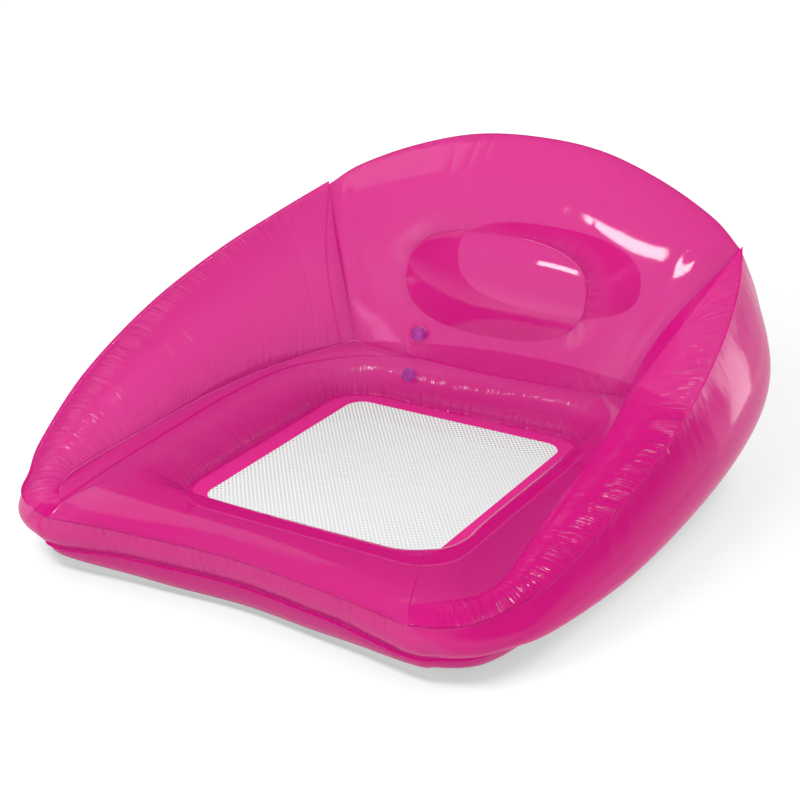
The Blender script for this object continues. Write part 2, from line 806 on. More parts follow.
@dataclass(frozen=True)
class VinylFilm:
    """Calendered vinyl film, tinted pink: smooth, glossy and half see-through.

    Part of the light passes with a tint and part is scattered, more of it where the film is seen
    edge on, so that its turns look deeper in colour. A weld is two films fused, so over its width
    more is scattered too, which draws it as a thin line.
    """

    name: str = "calendered_pink_vinyl"
    body_colour: str = "#f81695"
    tint: str = "#fccef1"
    shade: str = "#ececec"
    scatter: float = 0.62
    edge_scatter: float = 0.92
    edge_blend: float = 0.35
    through: float = 0.40
    roughness: float = 0.085
    ior: float = 1.55
    gloss: float = 0.85
    wrinkle: float = 0.045
    wrinkle_height: float = 0.0012
    wrinkle_strength: float = 0.30
    grain: float = 0.0040
    grain_height: float = 0.0002
    grain_strength: float = 0.08
    rib: float = 0.0056
    rib_height: float = 0.0022
    rib_stir: float = 0.16
    rib_drift: float = 12.0
    rib_lift: float = 2.5
    weld_line: float = 0.004
    weld_scatter: float = 0.93

    def ribs(self, shader: Shader, axes: bpy.types.Node) -> bpy.types.Node:
        """Fine ribs beside a weld.

        The sine of the length along it, whose phase drifts with a slow noise, times the strength
        that the surface gives and the square of the same noise.

        Args:
            shader: The tree to build in.
            axes: The piece's own attribute: length along the weld, distance from it, strength.

        Returns:
            The node that holds their height.
        """
        length, strength_here = axes.outputs["X"], axes.outputs["Z"]
        way = shader.node("ShaderNodeMath", {0: length, 1: 2 * np.pi / self.rib}, operation="MULTIPLY")
        slow = shader.node("ShaderNodeMath", {0: length, 1: self.rib_stir / self.rib}, operation="MULTIPLY")
        noise = shader.node("ShaderNodeTexNoise", {"W": slow, "Detail": 1.0}, noise_dimensions="1D")
        stir = noise.outputs["Fac"]
        drift = shader.node("ShaderNodeMath", {0: stir, 1: self.rib_drift}, operation="MULTIPLY")
        bent = shader.node("ShaderNodeMath", {0: way, 1: drift}, operation="ADD")
        wave = shader.node("ShaderNodeMath", {0: bent}, operation="SINE")
        squared = shader.node("ShaderNodeMath", {0: stir, 1: 2.0}, operation="POWER")
        lively = shader.node("ShaderNodeMath", {0: squared, 1: self.rib_lift}, operation="MULTIPLY")
        strength = shader.node("ShaderNodeMath", {0: strength_here, 1: lively}, operation="MULTIPLY")
        return shader.node("ShaderNodeMath", {0: wave, 1: strength}, operation="MULTIPLY")

    def make(self) -> bpy.types.Material:
        """Builds the finish: wrinkles 45 mm across, an orange peel of 4 mm, ribs of 5.6 mm and weld lines.

        Real orange peel is finer than 4 mm. It is drawn this coarse so that it breaks the lights up.
        Lamp and diffuse rays pass straight through with a plain shade, which keeps the inside lit.

        Returns:
            The finished material.
        """
        shader = Shader(bpy.data.materials.new(self.name))
        place = shader.node("ShaderNodeTexCoord").outputs["Object"]
        seam = shader.node("ShaderNodeAttribute", attribute_name="seam")
        axes = shader.node("ShaderNodeSeparateXYZ", {"Vector": seam.outputs["Vector"]})
        soft = shader.node("ShaderNodeTexNoise", {"Vector": place, "Scale": 1 / self.wrinkle, "Detail": 2.0,
                                                  "Roughness": 0.45, "Distortion": 0.4})
        peel = shader.node("ShaderNodeTexNoise", {"Vector": place, "Scale": 1 / self.grain, "Detail": 1.0})
        low = shader.node("ShaderNodeBump", {"Height": soft.outputs["Fac"], "Strength": self.wrinkle_strength,
                                             "Distance": self.wrinkle_height})
        ribbed = shader.node("ShaderNodeBump", {"Height": self.ribs(shader, axes), "Strength": 1.0,
                                                "Distance": self.rib_height, "Normal": low})
        fine = shader.node("ShaderNodeBump", {"Height": peel.outputs["Fac"], "Strength": self.grain_strength,
                                              "Distance": self.grain_height, "Normal": ribbed})
        front = shader.node("ShaderNodeBsdfPrincipled", {
            "Base Color": linear(self.body_colour), "Roughness": self.roughness, "IOR": self.ior,
            "Specular IOR Level": self.gloss, "Normal": fine})
        back = shader.node("ShaderNodeBsdfTranslucent", {"Color": linear(self.body_colour)})
        body = shader.node("ShaderNodeMixShader", {0: self.through, 1: front, 2: back})
        facing = shader.node("ShaderNodeLayerWeight", {"Blend": self.edge_blend})
        share = shader.node("ShaderNodeMapRange", {"Value": facing.outputs["Facing"], "To Min": self.scatter,
                                                   "To Max": self.edge_scatter})
        weld = shader.node("ShaderNodeMapRange", {"Value": axes.outputs["Y"], "From Min": self.weld_line / 2,
                                                  "From Max": self.weld_line, "To Min": self.weld_scatter,
                                                  "To Max": 0.0})
        opaque = shader.node("ShaderNodeMath", {0: share, 1: weld}, operation="MAXIMUM")
        clear = shader.node("ShaderNodeBsdfTransparent", {"Color": linear(self.tint)})
        seen = shader.node("ShaderNodeMixShader", {0: opaque, 1: clear, 2: body})
        path = shader.node("ShaderNodeLightPath")
        lamp_ray = shader.node("ShaderNodeMath", {0: path.outputs["Is Shadow Ray"],
                                                  1: path.outputs["Is Diffuse Ray"]}, operation="MAXIMUM")
        shade = shader.node("ShaderNodeBsdfTransparent", {"Color": linear(self.shade)})
        return shader.finish(shader.node("ShaderNodeMixShader", {0: lamp_ray, 1: seen, 2: shade}))


@dataclass(frozen=True)
class WovenMesh:
    """Woven polyester mesh, white and matt: ribs side by side with a row of small holes between each two.

    The real weave is finer. Ribs 6 mm apart and holes 8.4 mm apart are as coarse as they need to be
    to show in the render.
    """

    name: str = "woven_white_polyester"
    colour: str = "#f9f9fa"
    groove_colour: str = "#959597"
    roughness: float = 0.7
    sheen: float = 0.2
    row_way: tuple = (0.608, -0.794)
    rib_pitch: float = 0.0060
    hole_pitch: float = 0.0084
    hole_edges: tuple = (0.30, 0.62)
    hole_share: float = 0.86
    faint_edges: tuple = (-0.20, 0.30)
    faint_share: float = 0.45
    yarns_per_metre: float = 2600.0
    yarn_share: float = 0.3
    relief: float = 0.0005
    relief_strength: float = 0.6

    def run(self, shader: Shader, axes: bpy.types.Node, way: tuple, pitch: float) -> bpy.types.Node:
        """Wave from nought to one along a level direction: half a cosine of the way, plus a half.

        Args:
            shader: The tree to build in.
            axes: Object coordinates, split.
            way: X and Y of the direction.
            pitch: Length of one wave.

        Returns:
            The node that holds the wave.
        """
        turns = [shader.node("ShaderNodeMath", {0: axes.outputs[name], 1: 2 * np.pi / pitch * share},
                             operation="MULTIPLY") for name, share in zip("XY", way)]
        angle = shader.node("ShaderNodeMath", dict(enumerate(turns)), operation="ADD")
        cosine = shader.node("ShaderNodeMath", {0: angle}, operation="COSINE")
        half = shader.node("ShaderNodeMath", {0: cosine, 1: 0.5}, operation="MULTIPLY")
        return shader.node("ShaderNodeMath", {0: half, 1: 0.5}, operation="ADD")

    def make(self) -> bpy.types.Material:
        """Builds the finish: grooves between the ribs, and holes where grooves and stitches meet.

        The grooves are fainter towards the front left corner of the seat, as on the real one.

        Returns:
            The finished material.
        """
        shader = Shader(bpy.data.materials.new(self.name))
        place = shader.node("ShaderNodeTexCoord").outputs["Object"]
        axes = shader.node("ShaderNodeSeparateXYZ", {"Vector": place})
        along, over = self.row_way
        groove = self.run(shader, axes, (-over, along), self.rib_pitch)
        stitch = self.run(shader, axes, (along, over), self.hole_pitch)
        meeting = shader.node("ShaderNodeMath", {0: groove, 1: stitch}, operation="MULTIPLY")
        low, high = self.hole_edges
        dip = shader.node("ShaderNodeMapRange", {"Value": meeting, "From Min": low, "From Max": high})
        corner = shader.node("ShaderNodeMath", {0: axes.outputs["Y"], 1: axes.outputs["X"]},
                             operation="SUBTRACT")
        faint, plain = self.faint_edges
        contrast = shader.node("ShaderNodeMapRange", {"Value": corner, "From Min": faint, "From Max": plain,
                                                      "To Min": self.faint_share, "To Max": 1.0})
        depth = shader.node("ShaderNodeMath", {0: dip, 1: contrast}, operation="MULTIPLY")
        tone = shader.node("ShaderNodeMix", {"Factor": depth, 6: linear(self.colour),
                                             7: linear(self.groove_colour)}, data_type="RGBA")
        yarn = shader.node("ShaderNodeTexNoise", {"Vector": place, "Scale": self.yarns_per_metre,
                                                  "Detail": 1.0})
        fuzz = shader.node("ShaderNodeMath", {0: yarn.outputs["Fac"], 1: self.yarn_share}, operation="MULTIPLY")
        height = shader.node("ShaderNodeMath", {0: fuzz, 1: dip}, operation="SUBTRACT")
        bump = shader.node("ShaderNodeBump", {"Height": height, "Strength": self.relief_strength,
                                              "Distance": self.relief})
        cloth = shader.node("ShaderNodeBsdfPrincipled", {
            "Base Color": tone.outputs[2], "Roughness": self.roughness, "Sheen Weight": self.sheen,
            "Normal": bump})
        clear = shader.node("ShaderNodeBsdfTransparent")
        hole = shader.node("ShaderNodeMath", {0: meeting, 1: self.hole_share}, operation="GREATER_THAN")
        return shader.finish(shader.node("ShaderNodeMixShader", {0: hole, 1: cloth, 2: clear}))


@dataclass(frozen=True)
class ValvePvc:
    """Moulded soft PVC, violet and see-through, with a fine satin grain from the mould."""

    name: str = "moulded_violet_pvc"
    colour: str = "#ad50bc"
    tint: str = "#f7e5f9"
    scatter: float = 0.08
    grains_per_metre: float = 650.0
    grain_height: float = 0.0002
    grain_strength: float = 0.2
    least_roughness: float = 0.2
    roughness_span: float = 0.2
    depth: float = 0.003
    depth_share: float = 0.15

    def make(self) -> bpy.types.Material:
        """Builds the finish: a grain of about 1.5 mm in bump and roughness.

        Returns:
            The finished material.
        """
        shader = Shader(bpy.data.materials.new(self.name))
        place = shader.node("ShaderNodeTexCoord").outputs["Object"]
        grain = shader.node("ShaderNodeTexNoise", {"Vector": place, "Scale": self.grains_per_metre,
                                                   "Detail": 2.0}).outputs["Fac"]
        bump = shader.node("ShaderNodeBump", {"Height": grain, "Strength": self.grain_strength,
                                              "Distance": self.grain_height})
        span = shader.node("ShaderNodeMath", {0: grain, 1: self.roughness_span}, operation="MULTIPLY")
        rough = shader.node("ShaderNodeMath", {0: span, 1: self.least_roughness}, operation="ADD")
        body = shader.node("ShaderNodeBsdfPrincipled", {
            "Base Color": linear(self.colour), "Roughness": rough, "Subsurface Weight": self.depth_share,
            "Subsurface Scale": self.depth, "Normal": bump})
        clear = shader.node("ShaderNodeBsdfTransparent", {"Color": linear(self.tint)})
        return shader.finish(shader.node("ShaderNodeMixShader", {0: self.scatter, 1: clear, 2: body}))


# Body


@dataclass
class OuterWall:
    """Front band, the arms' outer walls and the wall behind the backrest."""

    welds: Welds
    film: bpy.types.Material
    weld_pucker: Pucker = Pucker(length=0.012, height=0.0004, peak=0.006, start=0.7)
    long_pucker: Pucker = Pucker(length=0.046, height=0.0006, peak=0.022, start=2.0)
    lower_starts: tuple = (0.31, 0.57)  # metres along at which the lower weld's rows of pillows start
    band_rows: int = 28
    band_ribs: float = 0.6
    arm_ribs: float = 0.12

    def lipped_wall(self, wall: Array, margin: Array, side: Array, out: Array, width: Array) -> Array:
        """An outer wall with both welded margins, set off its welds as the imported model's is.

        Args:
            wall: Points as columns by rows.
            margin: Way of the top margin, for each column.
            side: Way across it, towards the seat.
            out: Way across the wall, away from the seat.
            width: Width of the top margin, for each column.

        Returns:
            Points with two more rows at each end.
        """
        s = self.welds.sizes
        rise = np.linspace(0, 1, wall.shape[1]) ** 2
        shifted = set_off(wall, side, -s.half_weld) + UP * s.half_weld * rise[None, :, None]
        lower = shifted[:, -1:] + (level(out) * s.weld_width)[:, None] * np.array([0.5, 1.0])[None, :, None]
        return np.concatenate([lipped(shifted, margin, width), lower], axis=1)

    def puckered(self, wall: Array) -> Array:
        """The wall with pillows beside both welds.

        Args:
            wall: Points as columns by rows.

        Returns:
            The points, pushed outwards.
        """
        along = run_length(wall[:, 0])[:, None]
        down = run_length(wall, axis=1)
        up = down[:, -1:] - down
        first, second = self.lower_starts
        relief = (self.weld_pucker.relief(along, down) + self.long_pucker.relief(along, down)
                  + self.weld_pucker.relief(along + first, up) + self.long_pucker.relief(along + second, up))
        return inflated(wall, relief, flip=True)

    def wall(self, upper: Array, lower: Array, out: Array, bulge: Array, rows: int) -> Array:
        """A bulged wall with its puckers."""
        return self.puckered(bulged(upper, lower, out, bulge, crowded(rows, WELD_CROWDING)))

    def build(self) -> None:
        """Makes the four pieces."""
        w, f = self.welds, self.welds.fine
        arm_bulge = w.sizes.outer_bulge * w.values(w.arm_outer_bulge, w.arm_index)
        steps = np.arange(f.front + 1) / f.front
        ramp = np.minimum(1.0, 2 * np.sin(np.pi * steps))
        band_bulge = arm_bulge[0] + (w.sizes.band_bulge - arm_bulge[0]) * ramp
        band = self.wall(w.top_front, w.lower_front, w.out_front, band_bulge, self.band_rows)
        band = self.lipped_wall(band, w.margin_front, w.side_front, w.out_front, w.front_widths)
        Surface("front_band_film", self.film, "lounge", Slot.FILM, "front_band").build(
            band, flip=True, seam=seam_of(band, both=True, ribs=self.band_ribs))
        arm = self.wall(w.top_arm, w.lower_arm, w.out_arm, arm_bulge, f.wall_rows)
        arm = self.lipped_wall(arm, w.margin_arm, w.side_arm, w.out_arm, w.arm_widths)
        seam = seam_of(arm, both=True, ribs=self.arm_ribs)
        for side in Side:
            name = side.name.lower()
            grid = arm if side is Side.RIGHT else mirrored(arm)
            Surface(f"{name}_arm_outer_film", self.film, "lounge", Slot.FILM, f"{name}_arm_outer_panel").build(
                grid, flip=side is Side.RIGHT, seam=seam)


@dataclass
class Base:
    """The base tube: its top and bottom sheets round the window."""

    welds: Welds
    film: bpy.types.Material
    hull_film: bpy.types.Material
    front_crease_share: float = 0.88
    foot_crowding: float = 1.6  # power that crowds the rows towards the tube's foot
    pucker_fade: float = 0.02
    top_ribs: float = 0.5
    top_rib_reach: float = 0.030
    inner_pucker: Pucker = Pucker(length=0.013, height=0.0014, peak=0.008, start=1.4)
    inner_long: Pucker = Pucker(length=0.038, height=0.0022, peak=0.020, start=0.3)

    def __post_init__(self) -> None:
        """Works out the edges of the two sheets."""
        w, s, f = self.welds, self.welds.sizes, self.welds.fine
        y = s.shift
        corners = {"front_left": (-s.frame_half_width, s.frame_front + y),
                   "front_right": (s.frame_half_width, s.frame_front + y),
                   "rear_right": (s.frame_half_width, s.frame_rear + y),
                   "rear_left": (-s.frame_half_width, s.frame_rear + y)}
        front = self.straight(corners["front_left"], corners["front_right"], np.linspace(0, 1, f.front + 1))
        arm = self.straight(corners["front_right"], corners["rear_right"],
                            np.clip(w.values(w.arm_window, w.arm_index), 0, 1))
        back = self.straight(corners["rear_right"], corners["rear_left"], np.linspace(0, 1, f.back + 1))
        self.window_edge = self.rounded(w.ring(front, arm, back))
        arm_bulge = s.outer_bulge * w.values(w.arm_outer_bulge, w.arm_index)
        samples, rows = w.hidden_ways
        way = np.interp(np.arange(f.arm + 1) / f.finer, samples, rows)
        far_arm = bulged(w.top_arm, w.lower_arm, w.out_arm, arm_bulge, way[:, None])[:, 0]
        far_arm = far_arm - w.out_arm * s.hidden_gap
        far_front = w.top_front + w.side_front * s.half_weld
        back_bulge = s.outer_bulge * w.values(w.back_outer_bulge, w.back_index, True)
        far_back = bulged(w.top_back, w.lower_back, w.out_back, back_bulge,
                          np.array([w.hidden_way_back]))[:, 0] - w.out_back * s.hidden_gap_back
        fade = np.clip(1 - np.arange(f.arm + 1) / f.finer, 0, 1)[:, None]
        far_arm += (far_front[-1] - far_arm[0]) * fade
        self.far_edge = w.ring(far_front, far_arm, far_back)
        crease_front = front + (w.top_front - front) * self.front_crease_share
        self.crease_ring = w.ring(crease_front, w.crease_arm, w.crease_back)
        self.window_in = level(w.seat_middle - self.window_edge)
        stations = np.arange(len(w.arm_rear))
        self.rear_share = w.ring_values(np.zeros(f.front + 1), np.interp(w.arm_index, stations, w.arm_rear),
                                        np.ones(f.back + 1))[:, None]
        self.front_share = w.ring_values(np.ones(f.front + 1), np.interp(w.arm_index, stations, w.arm_front),
                                         np.zeros(f.back + 1))[:, None]
        self.tube_top = self.top_grid()

    def straight(self, start: tuple, end: tuple, shares: Array) -> Array:
        """Points on a level line at the height of the mesh."""
        plan = np.array(start) + np.outer(shares, np.subtract(end, start))
        return np.column_stack([plan, np.full(len(shares), self.welds.sizes.mesh_height)])

    def rounded(self, points: Array) -> Array:
        """Points on the frame's square outline pulled onto its round corners.

        Args:
            points: Points on the outline.

        Returns:
            Each point's nearest place on the straight core, plus the corner's radius towards the point.
        """
        s = self.welds.sizes
        middle = self.welds.seat_middle * LEVEL
        limit = np.array([s.frame_half_width, (s.frame_rear - s.frame_front) / 2]) - s.frame_corner
        plan = (points - middle)[:, :2]
        inner = np.clip(plan, -limit, limit)
        return np.column_stack([inner + unit(plan - inner) * s.frame_corner, points[:, 2]]) + middle

    def tube_height(self, distance: Array, total: Array, far_height: Array) -> Array:
        """Height of the tube's top: a sine's rise off the frame, at the rear a quarter ellipse's.

        Over the front the rise is longer, so that the net is seen over it up to its front edge.
        Beyond the crown the tube falls as a quarter ellipse.

        Args:
            distance: Level distance from the foot of the tube.
            total: Level distance from the foot to the far edge, for each column.
            far_height: Height of the far edge, for each column.

        Returns:
            Heights in metres.
        """
        s, rear, front = self.welds.sizes, self.rear_share, self.front_share
        run = (s.tube_inner_run + (s.tube_rear_run - s.tube_inner_run) * rear
               + (s.tube_front_run - s.tube_inner_run) * front)
        rise = np.clip(1 - distance / run, 0, 1)
        fall = np.clip((distance - run) / (total - run), 0, 1)
        low = s.mesh_height + s.layer
        sine = np.cos(rise * np.pi / 2)
        climb = sine * (1 - rear) + np.sqrt(1 - rise ** 2) * rear
        inner = low + (s.tube_crown_height - low) * climb
        outer = far_height + (s.tube_crown_height - far_height) * np.sqrt(1 - fall ** 2)
        return np.where(distance < run, inner, outer)

    def top_grid(self) -> Array:
        """Points over the tube, from the window over the crease to the far edge.

        Straight in plan, with the tube's height; along the front the part beyond the crease goes on in
        the tube's curve, elsewhere it runs straight to the far edge.

        Returns:
            Points as columns round the body by rows outwards.
        """
        f = self.welds.fine
        edge, crease, far = self.window_edge, self.crease_ring, self.far_edge
        near = np.linspace(0, 1, f.tube_rows_near + 1) ** self.foot_crowding
        beyond = np.linspace(0, 1, f.tube_rows_far + 1)[1:]
        first = np.linalg.norm((crease - edge)[:, :2], axis=1)[:, None]
        second = np.linalg.norm((far - crease)[:, :2], axis=1)[:, None]
        near_plan = edge[:, None, :2] + near[None, :, None] * (crease - edge)[:, None, :2]
        beyond_plan = crease[:, None, :2] + beyond[None, :, None] * (far - crease)[:, None, :2]
        far_height = far[:, 2:3]
        near_height = self.tube_height(near[None] * first, first + second, far_height)
        closed_height = near_height[:, -1:] + (far_height - near_height[:, -1:]) * beyond
        open_height = self.tube_height(first + beyond[None] * second, first + second, far_height)
        columns = np.arange(len(edge)) / f.finer
        front = np.where(columns < f.front_spans, np.minimum(columns, f.front_spans - columns), 0)
        opened = eased(front)[:, None]
        beyond_height = closed_height * (1 - opened) + open_height * opened
        self.crease_row = f.tube_rows_near
        plan = np.concatenate([near_plan, beyond_plan], axis=1)
        return np.concatenate([plan, np.concatenate([near_height, beyond_height], axis=1)[..., None]], axis=2)

    def build(self) -> None:
        """Makes both sheets."""
        s = self.welds.sizes
        along = run_length(self.window_edge)[:, None]
        across_tube = run_length(self.tube_top, axis=1)
        to_crease = across_tube[:, self.crease_row:self.crease_row + 1] - across_tube
        seen = np.clip(to_crease / self.pucker_fade, 0, 1)
        relief = self.inner_pucker.relief(along, across_tube) + self.inner_long.relief(along, across_tube)
        top = inflated(self.tube_top, relief * seen, closed=True)
        lip = top[:, :1] + (self.window_in * s.weld_width)[:, None]
        sheet = np.concatenate([lip, top], axis=1)
        Surface("base_top_film", self.film, "lounge", Slot.FILM, "base_top_panel").build(
            sheet, closed=True, hole=ValveHole("base_valve_flange"),
            seam=seam_of(sheet, ribs=self.top_ribs, reach=self.top_rib_reach))
        hull = self.hull_grid()
        Surface("base_bottom_film", self.hull_film, "lounge", Slot.FILM, "base_bottom_panel").build(
            hull, closed=True, seam=seam_of(hull))

    def hull_grid(self) -> Array:
        """Points under the tube: a quarter ellipse down to the floor, the flat, and another one up.

        Returns:
            Points as columns round the body by rows inwards.
        """
        w, s, f = self.welds, self.welds.sizes, self.welds.fine
        insets = s.floor_inset_outer * w.ring_values(
            w.values(w.front_inset, w.front_index, True), w.values(w.arm_inset, w.arm_index),
            np.ones(f.back + 1))[:, None]
        weld = w.ring(w.lower_front, w.lower_arm, w.lower_back)
        edge = self.window_edge
        out = level(w.ring(w.out_front, w.out_arm, w.out_back))
        turn = np.linspace(0, 1, f.hull_rows + 1)
        out_shares = 1 - np.cos(turn * np.pi / 2)
        in_shares = np.sin(turn * np.pi / 2)
        total = np.linalg.norm((edge - weld)[:, :2], axis=1)[:, None]
        height = (weld[:, 2:] - s.half_weld) * (1 - np.sqrt(np.clip(1 - (1 - out_shares) ** 2, 0, 1)))
        rise = s.stack_bottom * (1 - np.sqrt(np.clip(1 - in_shares ** 2, 0, 1)))
        last = total - (1 - in_shares)[None] * s.floor_inset_inner
        distances = np.concatenate([out_shares[None] * insets, last], axis=1)
        plan = weld[:, None, :2] + (distances / total)[..., None] * (edge - weld)[:, None, :2]
        heights = np.concatenate([height, np.broadcast_to(rise, (len(height), len(rise)))], axis=1)
        hull = np.concatenate([plan, heights[..., None]], axis=2)
        lip = hull[:, :1] + (out * s.weld_width)[:, None]
        inner = hull[:, -1:] + (self.window_in * s.weld_width)[:, None]
        return np.concatenate([lip, hull, inner], axis=1)


@dataclass
class Arms:
    """The arms' faces towards the seat."""

    welds: Welds
    base: Base
    film: bpy.types.Material
    top_pucker: Pucker = Pucker(length=0.011, height=0.0012, peak=0.010, start=2.6)
    top_long: Pucker = Pucker(length=0.030, height=0.0024, peak=0.020, start=0.9)
    low_pucker: Pucker = Pucker(length=0.018, height=0.0022, peak=0.011, start=1.1)
    lapped_samples: float = 2.0  # CAD samples from the tip over which the panel lies on the base's film
    tip_samples: float = 5.0  # samples at the tip over which puckers and ribs rise
    corner_samples: float = 1.5  # samples at the backrest over which they fall
    ribs: float = 0.45
    rib_reach: float = 0.050

    def build(self) -> None:
        """Makes both inner panels: bulged from the top weld down to the crease on the tube."""
        w, s, f = self.welds, self.welds.sizes, self.welds.fine
        crease = self.base.tube_top[f.front:f.front + f.arm + 1, self.base.crease_row] + UP * s.layer
        bulge = s.arm_bulge * np.clip(w.values(w.arm_inner_bulge, w.arm_index), 0, None)
        bulge = bulge * pressed(w.arm_index[-1] - w.arm_index)
        tangent = np.gradient((w.top_arm + crease) / 2, axis=0)
        out = pointing(unit(np.cross(crease - w.top_arm, tangent)), UP)
        face = bulged(w.top_arm, crease, out, bulge, crowded(f.panel_rows, WELD_CROWDING), s.inner_power)
        samples = np.arange(f.arm + 1) / f.finer
        over_base = np.clip(1 - samples / self.lapped_samples, 0, 1)
        face = set_off(face, w.side_arm, s.half_weld + s.layer * over_base)
        along = run_length(w.top_arm)[:, None]
        down = run_length(face, axis=1)
        up = down[:, -1:] - down
        relief = (self.top_pucker.relief(along, down) + self.top_long.relief(along, down)
                  + self.low_pucker.relief(along, up))
        ends = eased(samples / self.tip_samples) * np.clip((samples[-1] - samples) / self.corner_samples, 0, 1)
        face = inflated(face, relief * ends[:, None])
        face = lipped(face, w.margin_arm, w.arm_widths)
        length, away, ribs = seam_of(face, both=True, ribs=self.ribs, reach=self.rib_reach)
        for side in Side:
            name = side.name.lower()
            grid = face if side is Side.RIGHT else mirrored(face)
            Surface(f"{name}_arm_inner_film", self.film, "lounge", Slot.FILM, f"{name}_arm_inner_panel").build(
                grid, flip=side is Side.LEFT, seam=(length, away, ribs * ends[:, None]))


@dataclass
class Backrest:
    """Front and rear panel of the backrest, and the oval headrest held between them."""

    welds: Welds
    base: Base
    film: bpy.types.Material
    oval_width_share: float = 0.360
    oval_height_share: float = 0.228
    oval_place_share: float = 0.395
    rear_width_share: float = 0.385
    rear_height_share: float = 0.222
    rear_place_share: float = 0.299
    oval_crown: float = 0.007
    oval_power_share: float = 0.80
    groove: float = 0.011
    groove_reach: float = 0.042
    top_pucker: Pucker = Pucker(length=0.013, height=0.0009, peak=0.008, start=0.2)
    top_long: Pucker = Pucker(length=0.040, height=0.0014, peak=0.026, start=1.9)
    face_height: float = 0.30  # metres from the top weld to the lower edge, for the puckers
    rear_height: float = 0.40
    pucker_fade_share: float = 0.05
    face_crowding: float = 0.7
    oval_crowding: float = 0.4
    pole_share: float = 0.985  # share of the way to the oval's middle at which its rows end
    face_ribs: float = 0.35
    waist: float = 0.012
    wall_rows: int = 17

    def __post_init__(self) -> None:
        """Works out the runs and the ovals."""
        w, s, f = self.welds, self.welds.sizes, self.welds.fine
        start = f.front + f.arm
        self.crease = self.base.tube_top[start:start + f.back + 1, self.base.crease_row] + UP * s.layer
        tangent = np.gradient((w.top_back + self.crease) / 2, axis=0)
        self.face_out = pointing(unit(np.cross(self.crease - w.top_back, tangent)), np.array([0.0, -1.0, 0.0]))
        self.inner_bulge = s.backrest_bulge * np.clip(w.values(w.back_inner_bulge, w.back_index, True), 0, None)
        self.inner_bulge *= pressed(np.minimum(w.back_index, w.back_index[-1] - w.back_index))
        self.outer_bulge = s.outer_bulge * w.values(w.back_outer_bulge, w.back_index, True)
        self.edge = self.edge_round()
        self.front_oval = self.oval(self.front_wall, self.oval_width_share, self.oval_height_share,
                                    self.oval_place_share)
        self.rear_oval = self.oval(self.rear_wall, self.rear_width_share, self.rear_height_share,
                                   self.rear_place_share)

    def read(self, run: Array, share: Array) -> Array:
        """A run's points at shares of its length, by Catmull-Rom."""
        return spline(run, share * (len(run) - 1))

    def wall(self, upper: Array, lower: Array, out: Array, bulge: Array, fullness: float, power: float,
             place: Array) -> Array:
        """Points of a wall at places across and down: the chord, pushed out by a sine.

        Args:
            upper: The top weld.
            lower: The lower edge.
            out: Ways to push out.
            bulge: How far, for each column.
            fullness: Power of the share up the wall inside the sine, which sets where it is fullest.
            power: Power of the sine itself, which sets how round the wall is.
            place: Shares across and down, one row for each point.

        Returns:
            One point for each place.
        """
        u, v = place[:, 0], place[:, 1]
        swell = np.clip(np.sin(np.pi * np.clip(1 - v, 0, 1) ** fullness), 0, 1) ** power
        start = self.read(upper, u)
        size = self.read(bulge[:, None], u)
        return start + (self.read(lower, u) - start) * v[:, None] + self.read(out, u) * size * swell[:, None]

    def front_wall(self, place: Array) -> Array:
        """The backrest's face towards the seat.

        Args:
            place: Shares across and down, one row for each point.

        Returns:
            One point for each place.
        """
        w, s = self.welds, self.welds.sizes
        base = self.wall(w.top_back, self.crease, self.face_out, self.inner_bulge, s.backrest_fullness_share,
                         s.inner_power, place)
        return base + self.read(w.side_back, place[:, 0]) * s.half_weld * (1 - place[:, 1:]) ** 2

    def rear_wall(self, place: Array) -> Array:
        """The backrest's outer face.

        Args:
            place: Shares across and down, one row for each point.

        Returns:
            One point for each place.
        """
        w, s = self.welds, self.welds.sizes
        base = self.wall(w.top_back, w.lower_back, w.out_back, self.outer_bulge, 1.0, 1.0, place)
        down = place[:, 1:]
        return (base - self.read(w.side_back, place[:, 0]) * s.half_weld * (1 - down) ** 2
                + UP * s.half_weld * down ** 2)

    def edge_round(self) -> Array:
        """Places round the edge of a wall: top, left side, bottom, right side.

        Returns:
            Shares across and down, one row for each place.
        """
        f = self.welds.fine
        step_u = np.arange(f.back) / f.back
        step_v = np.arange(f.side) / f.side
        return np.vstack([
            np.column_stack([step_u, np.zeros(f.back)]), np.column_stack([np.ones(f.side), step_v]),
            np.column_stack([1 - step_u, np.ones(f.back)]), np.column_stack([np.zeros(f.side), 1 - step_v])])

    def oval(self, surface: Callable[[Array], Array], width: float, height: float, place_share: float) -> Array:
        """Places on a wall whose points lie on an upright oval.

        Each is found by Newton's way: the step that the wall's slopes across and down ask for,
        twelve times over.

        Args:
            surface: The wall, from places to points.
            width: Half width as a share of the seam's half width.
            height: Half height as a share of the rise from the tube's crown to the crest.
            place_share: Height of the middle as a share of the same rise.

        Returns:
            One place for each column of the wall's edge.
        """
        s = self.welds.sizes
        rise = s.crest_height - s.tube_crown_height
        half_width, half_height = s.seam_half_width * width, rise * height
        swing = np.arctan2((0.5 - self.edge[:, 1]) * half_height / half_width, 0.5 - self.edge[:, 0])
        cosine, sine = np.cos(swing), np.sin(swing)
        power = self.oval_power_share
        goal = np.column_stack([
            half_width * np.sign(cosine) * np.abs(cosine) ** power,
            s.tube_crown_height + rise * place_share + half_height * np.sign(sine) * np.abs(sine) ** power])
        place = np.full((len(self.edge), 2), 0.5)
        place[:, 0] -= goal[:, 0] / (2 * s.seam_half_width)
        step = 0.0001
        for _ in range(12):
            here = surface(place)[:, ::2]
            slope_u = (surface(place + np.array([step, 0.0]))[:, ::2] - here) / step
            slope_v = (surface(place + np.array([0.0, step]))[:, ::2] - here) / step
            place += np.linalg.solve(np.stack([slope_u, slope_v], axis=2), (goal - here)[..., None])[..., 0]
        return place

